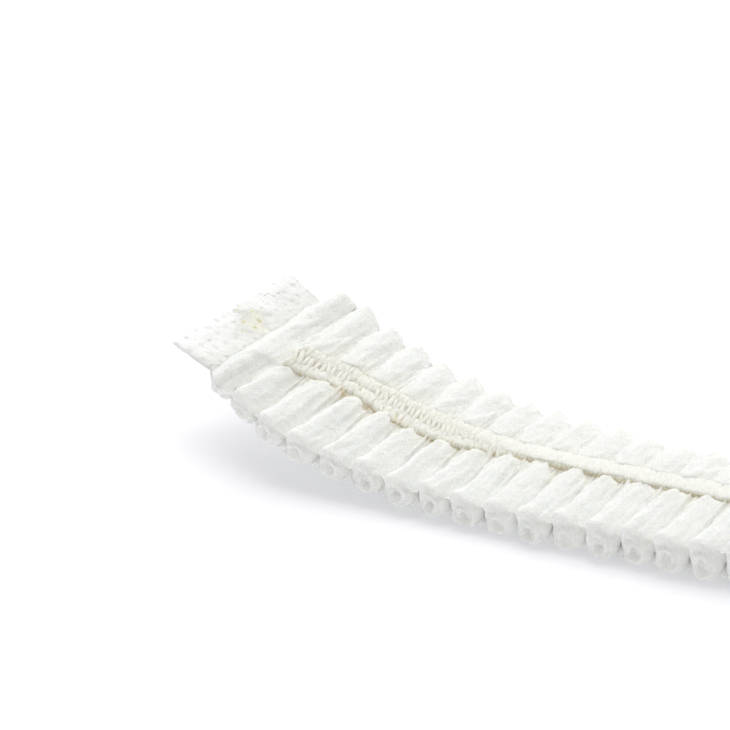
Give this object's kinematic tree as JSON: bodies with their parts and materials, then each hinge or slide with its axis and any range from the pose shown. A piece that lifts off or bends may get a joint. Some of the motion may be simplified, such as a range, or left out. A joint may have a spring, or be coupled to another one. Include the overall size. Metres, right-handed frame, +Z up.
{
  "type": "strip-packed disposable hair cover cap",
  "caption": "Disposable hair cover cap as packed: folded nonwoven plies gathered into a puffed strip by two elastic hems, welded flat at both ends.",
  "frame": {"origin": "middle of the base of the whole strip, on the surface it lies on", "axes": "+X along the straight run of the strip towards the right weld, +Y across it to the far side, +Z up"},
  "size_m": [0.2736, 0.0364, 0.0135],
  "materials": {
    "nonwoven": "soft white spunbond nonwoven, matt with a faint silky sheen",
    "elastic_casing": "finely gathered nonwoven over elastic, ivory",
    "pressed_nonwoven": "pressed and spot-welded nonwoven, slightly glossy",
    "amber_elastic": "flattened amber latex elastic seen through the weld"
  },
  "bodies": {
    "root": {"gathered_crown": "nonwoven", "near_hem": "elastic_casing", "far_hem": "elastic_casing", "weld_tab_left": "pressed_nonwoven", "weld_tab_right": "pressed_nonwoven", "elastic_end_left": "amber_elastic", "elastic_end_right": "amber_elastic"}
  },
  "joints": []
}
